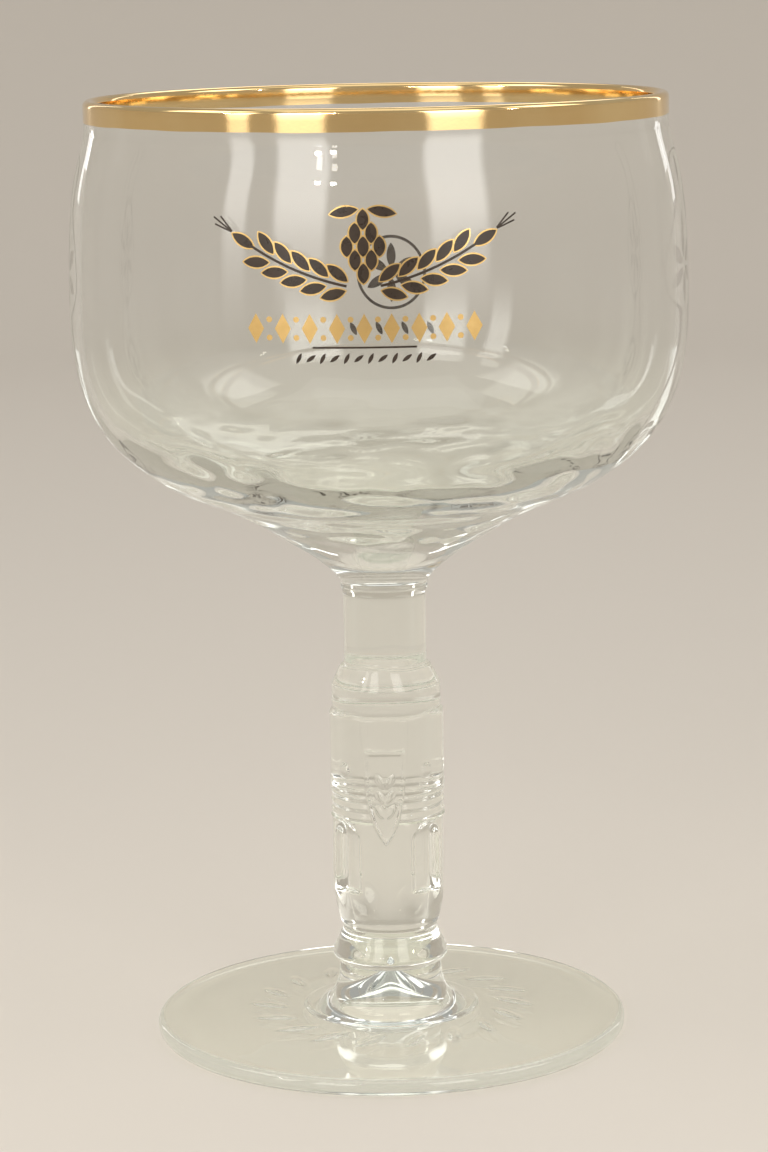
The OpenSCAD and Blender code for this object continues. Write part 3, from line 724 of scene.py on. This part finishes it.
class Print:
    def __init__(self, name, node, middleZ, material, slot, side=1):
        self.name, self.node, self.middleZ = name, node, middleZ
        self.material, self.slotName, self.side = material, slot, side
        self.verts, self.faces = [], []

    def lay(self, grid, place, top, sunk=0.03, closed=False):
        flat = np.concatenate([grid, np.ones(grid.shape[:2] + (1,))], 2) @ place.T
        rows, cols = grid.shape[:2]
        start = len(self.verts)
        for lift in (top, -sunk):
            z = self.middleZ + flat[:, :, 1]
            r = sideRadius(z) + lift
            x = flat[:, :, 0]
            y = -np.sqrt(r * r - x * x)
            self.verts.extend(np.stack([x * self.side, y * self.side, z], 2).reshape(-1, 3) * millimetre)
        under = rows * cols

        def at(i, j, low=0):
            return start + low * under + (i % rows) * cols + j

        turns = rows if closed else rows - 1
        for i in range(turns):
            for j in range(cols - 1):
                self.faces.append([at(i, j), at(i + 1, j), at(i + 1, j + 1), at(i, j + 1)])
                self.faces.append([at(i, j + 1, 1), at(i + 1, j + 1, 1), at(i + 1, j, 1), at(i, j, 1)])
            for j in (0, cols - 1):
                self.faces.append([at(i, j), at(i, j, 1), at(i + 1, j, 1), at(i + 1, j)])
        if not closed:
            for i in (0, rows - 1):
                for j in range(cols - 1):
                    self.faces.append([at(i, j), at(i, j + 1), at(i, j + 1, 1), at(i, j, 1)])

    def finish(self):
        piece = slabMesh(self.name, self.verts, self.faces)
        piece.data.materials.append(self.material)
        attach(piece, "root")
        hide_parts(self.node)


def slabMesh(name, verts, faces):
    # points that fall together at a leaf's tip are joined, and the faces that this flattens are left out
    keys, fewer, index = {}, [], []
    for v in verts:
        key = tuple(np.round(np.array(v) / weld).astype(int))
        if key not in keys:
            keys[key] = len(fewer)
            fewer.append(v)
        index.append(keys[key])
    kept = []
    for f in faces:
        ring = list(dict.fromkeys(index[i] for i in f))
        if len(ring) > 2:
            kept.append(ring)
    return finishMesh(name, fewer, kept, 50)


ornament = dict(
    drop=21.7, thick=0.1, edgeThick=0.08, edgeW=0.24,
    layer=0.006,                            # by this the films that cross differ in height
    grainL=4, grainW=1.6, grainPitch=3.1, grainRows=5, grainLean=27, stalkW=0.4, stalkGap=0.75, stalkPast=0.2,
    bendR=44, start=12, gap=2.6, earDrop=5, bristleL=3.6, bristleW=0.25, bristleLean=(-14, 0, 14),
    bristleShares=(0.8, 1, 0.8),
    scaleL=3.1, scaleW=1.75, scalePitch=2.5, scaleRow=2.05, scalesInRow=(1, 2, 3, 2, 1), hopRise=1,
    hopLeafL=4.4, hopLeafW=1.5, hopLeafLean=100,
)
ornamentZ = topZ - ornament["drop"]


def alongEar(length):
    o = ornament
    bend = math.degrees(length / o["bendR"])
    return move(o["gap"], -o["earDrop"]) @ turned(o["start"]) @ move(0, o["bendR"]) @ turned(bend) \
        @ move(0, -o["bendR"])


def ornamentLeaves():
    # place, length and width of every pointed shape of the ornament
    o = ornament
    leaves = []
    for mirror in (np.eye(3), flip):
        for i in range(o["grainRows"]):
            for side in (-1, 1):
                place = alongEar(i * o["grainPitch"]) @ move(0, side * o["stalkGap"]) \
                    @ turned(-90 + side * o["grainLean"])
                leaves.append((mirror @ place, o["grainL"], o["grainW"]))
        place = alongEar(o["grainRows"] * o["grainPitch"]) @ turned(-90)
        leaves.append((mirror @ place, o["grainL"], o["grainW"]))
    rows = len(o["scalesInRow"])
    top = o["hopRise"] + (rows - 1) / 2 * o["scaleRow"] + o["scaleL"] / 2
    for j, number in enumerate(o["scalesInRow"]):
        for i in range(number):
            place = move((i - (number - 1) / 2) * o["scalePitch"], top - o["scaleL"] - j * o["scaleRow"])
            leaves.append((place, o["scaleL"], o["scaleW"]))
    for side in (-1, 1):
        place = move(side * o["stalkGap"], top) @ turned(-side * o["hopLeafLean"])
        leaves.append((place, o["hopLeafL"], o["hopLeafW"]))
    return leaves


def makeOrnament():
    o = ornament
    dark = Print("ornamentEnamel", "front_ornament", ornamentZ, enamel, "dark_enamel")
    edge = Print("ornamentEdge", "front_ornament_edge", ornamentZ, printGold, "printed_gold")
    for n, (place, length, width) in enumerate(ornamentLeaves()):
        dark.lay(leafGrid(length, width), place, o["thick"])
        top = o["edgeThick"] - o["layer"] * (n % 3)
        edge.lay(leafRing(length, width, o["edgeW"]), place, top, closed=True)
    earL = o["grainRows"] * o["grainPitch"]
    for mirror in (np.eye(3), flip):
        spine = np.linspace(0, earL + o["stalkPast"], 40)
        line = np.array([[(alongEar(s) @ np.array([0, side * o["stalkW"] / 2, 1]))[:2] for side in (-1, 1)]
                         for s in spine])
        dark.lay(line, mirror, o["thick"] - 2 * o["layer"])
        for lean, share in zip(o["bristleLean"], o["bristleShares"]):
            length = o["bristleL"] * share
            place = alongEar(earL + o["grainL"]) @ turned(lean) @ move(o["edgeW"] + length / 2, 0)
            dark.lay(barGrid(length, o["bristleW"], 10), mirror @ place, o["thick"] - o["layer"])
    dark.finish()
    edge.finish()


frieze = dict(drop=11.5, w=2.5, h=4.6, pitch=4.2, number=9, dotD=0.9, dotRise=1.4, thick=0.1)


def makeFrieze():
    f = frieze
    gilt = Print("friezeGold", "front_frieze", ornamentZ - f["drop"], printGold, "printed_gold")
    for i in range(f["number"]):
        x = (i - (f["number"] - 1) / 2) * f["pitch"]
        gilt.lay(lozengeGrid(f["w"], f["h"]), move(x, 0), f["thick"])
        for side in (-1, 1):
            if i > 0:
                gilt.lay(discGrid(f["dotD"] / 2), move(x - f["pitch"] / 2, side * f["dotRise"]), f["thick"])
    gilt.finish()


smallLines = dict(ruleDrop=14.4, ruleL=16, ruleW=0.3, runnerDrop=16.1, leafL=1.9, leafW=0.6, pitch=1.85,
                  number=12, lean=27, thick=0.1)


def makeSmallLines():
    s = smallLines
    rule = Print("ruleEnamel", "front_rule", ornamentZ - s["ruleDrop"], enamel, "dark_enamel")
    rule.lay(barGrid(s["ruleL"], s["ruleW"], 60), move(0, 0), s["thick"])
    rule.finish()
    runner = Print("runnerEnamel", "front_runner", ornamentZ - s["runnerDrop"], enamel, "dark_enamel")
    for i in range(s["number"]):
        lean = -s["lean"] if i % 2 == 0 else -2 * s["lean"]
        place = move((i - (s["number"] - 1) / 2) * s["pitch"], 0) @ turned(lean) @ move(0, -s["leafL"] / 2)
        runner.lay(leafGrid(s["leafL"], s["leafW"], count=8, across=2), place, s["thick"])
    runner.finish()


backSide = dict(drop=34.6, d=13, lineW=0.5, petals=6, petalW=1.7, petalGap=0.8,
                rowDrop=9.8, rowL=2.6, rowW=1, rowPitch=2.4, number=7, lean=27, thick=0.1)


def makeBackPrint():
    b = backSide
    back = Print("backEnamel", "back_print", topZ - b["drop"], enamel, "dark_enamel", side=-1)
    back.lay(ringGrid(b["d"] / 2 - b["lineW"], b["d"] / 2), move(0, 0), b["thick"], closed=True)
    petalL = b["d"] / 2 - b["lineW"] - 2 * b["petalGap"]
    for i in range(b["petals"]):
        place = turned(i * 360 / b["petals"]) @ move(0, b["petalGap"])
        back.lay(leafGrid(petalL, b["petalW"]), place, b["thick"])
    for i in range(b["number"]):
        place = move((i - (b["number"] - 1) / 2) * b["rowPitch"], -b["rowDrop"]) @ turned(-b["lean"]) \
            @ move(0, -b["rowL"] / 2)
        back.lay(leafGrid(b["rowL"], b["rowW"], count=10), place, b["thick"])
    back.finish()


makeOrnament()
makeFrieze()
makeSmallLines()
makeBackPrint()
print("prints made")

# Studio: a pale floor that curves up all round, soft boxes all round and overhead, and an even sky

studio = dict(
    floorR=1.5, curveR=0.5, wallH=0.15, floorZ=-0.00015,
    aimZ=0.1, sideFade=0.16,            # the height that the boxes face, and the share of a side that dims
    sky=(1, 0.98, 0.93, 1), skyStrength=0.4,
)
white, daylight, bulb = (1, 1, 1), (1, 0.98, 0.94), (1, 0.95, 0.86)
# name, azimuth, elevation, distance, width, height, radiance, colour, and the share of its height that dims
softBoxes = (
    ("windowLeft", -25.5, 15, 0.78, 0.3, 0.6, 3.4, daylight, 0.5),
    ("windowNarrow", -50, 15, 0.78, 0.14, 0.6, 2.8, daylight, 0.5),
    ("windowRight", 32, 15, 0.78, 0.34, 0.6, 3.4, daylight, 0.5),
    ("edgeLeft", -146, 14, 1.3, 0.08, 0.8, 1.6, white, 0),
    ("edgeRight", 146, 14, 1.3, 0.08, 0.8, 1.6, white, 0),
    ("overhead", 0, 80, 1.3, 1.2, 0.9, 0.7, white, 0),
    ("highLeft", -80, 42, 1.25, 0.7, 0.6, 2.4, daylight, 0.4),
    ("highRight", 85, 42, 1.25, 0.6, 0.6, 2.2, daylight, 0.4),
    ("highBack", 175, 40, 1.3, 0.9, 0.5, 1.8, daylight, 0.4),
)
spark = dict(distance=0.7, width=0.022, height=0.012, radiance=240)
sparkPlaces = ((-19.5, 24.8), (-13.6, 24.8), (-56, 25), (57, 27))


def makeStage():
    s = studio
    flat, curve = s["floorR"] - s["curveR"], s["curveR"]
    outline = np.concatenate([
        [(0, 0)], straight((0, 0), (flat, 0), 6), arc((flat, curve), curve, -90, 0, 24)[1:],
        straight((s["floorR"], curve), (s["floorR"], curve + s["wallH"]), 3)]) / millimetre
    floor = lathe("floor", outline)
    floor.data.flip_normals()
    floor.location.z = s["floorZ"]
    floor.data.materials.append(paleFloor())


def softBox(name, azimuth, elevation, distance, width, height, radiance, colour, fade):
    # azimuth 0 is over the camera's side, to the right is positive
    a, e = math.radians(azimuth), math.radians(elevation)
    place = Vector((math.sin(a) * math.cos(e), -math.cos(a) * math.cos(e), math.sin(e))) * distance
    aim = Vector((0, 0, studio["aimZ"]))
    place += aim
    lamp = bpy.data.lights.new(name, "AREA")
    lamp.shape = "RECTANGLE"
    lamp.size, lamp.size_y = width, height
    lamp.energy = radiance * math.pi * width * height
    lamp.color = colour
    box = bpy.data.objects.new(name, lamp)
    box.location = place
    box.rotation_euler = (aim - place).to_track_quat("-Z", "Y").to_euler()
    bpy.context.scene.collection.objects.link(box)
    box.visible_camera = False
    if fade:
        # the box is dimmer towards its lower edge and its sides
        s = Surface(name, lamp)
        spot = s.add("ShaderNodeNewGeometry", out="Parametric")
        across, up = (s.add("ShaderNodeSeparateXYZ", {}, {0: spot}, out=i) for i in (0, 1))
        edge = s.soft(across, 0, studio["sideFade"]) * s.soft(across, 1, 1 - studio["sideFade"])
        s.show(s.add("ShaderNodeEmission", {}, {"Strength": edge * s.soft(up, 0, fade)}))


def makeLights():
    for box in softBoxes:
        softBox(*box)
    for i, (azimuth, elevation) in enumerate(sparkPlaces):
        softBox("spark" + str(i), azimuth, elevation, colour=bulb, fade=0, **spark)
    world = bpy.data.worlds.new("room")
    world.use_nodes = True
    sky = world.node_tree.nodes["Background"]
    sky.inputs["Color"].default_value = studio["sky"]
    sky.inputs["Strength"].default_value = studio["skyStrength"]
    bpy.context.scene.world = world
    bpy.context.scene.view_settings.view_transform = "Standard"


# Camera, solved from the photograph's ellipses. Height and focal are pixels, sensor is millimetres, and the
# rest is metres and degrees.

photo = dict(
    height=1152, focal=3482, sensor=24, away=0.58206, high=0.18491, pitch=10.32, roll=1.0, swing=2.6,
    near=0.01, far=20,
)


def makeCamera():
    p = photo
    data = bpy.data.cameras.new("camera")
    data.sensor_fit = "VERTICAL"
    data.sensor_height = p["sensor"]
    data.lens = data.sensor_height * p["focal"] / p["height"]
    data.clip_start, data.clip_end = p["near"], p["far"]
    camera = bpy.data.objects.new("camera", data)
    bpy.context.scene.collection.objects.link(camera)
    pitch, roll = math.radians(p["pitch"]), math.radians(p["roll"])
    right = Vector((1, 0, 0))
    up = Vector((0, math.sin(pitch), math.cos(pitch)))
    ahead = Vector((0, math.cos(pitch), -math.sin(pitch)))
    rolledRight = right * math.cos(roll) - up * math.sin(roll)
    rolledUp = right * math.sin(roll) + up * math.cos(roll)
    turn = Matrix((rolledRight, rolledUp, -ahead)).transposed().to_4x4()
    swing = Matrix.Rotation(math.radians(p["swing"]), 4, "Z")
    camera.matrix_world = swing @ Matrix.Translation((0, -p["away"], p["high"])) @ turn
    bpy.context.scene.camera = camera


makeStage()
makeLights()
makeCamera()
print("studio made")
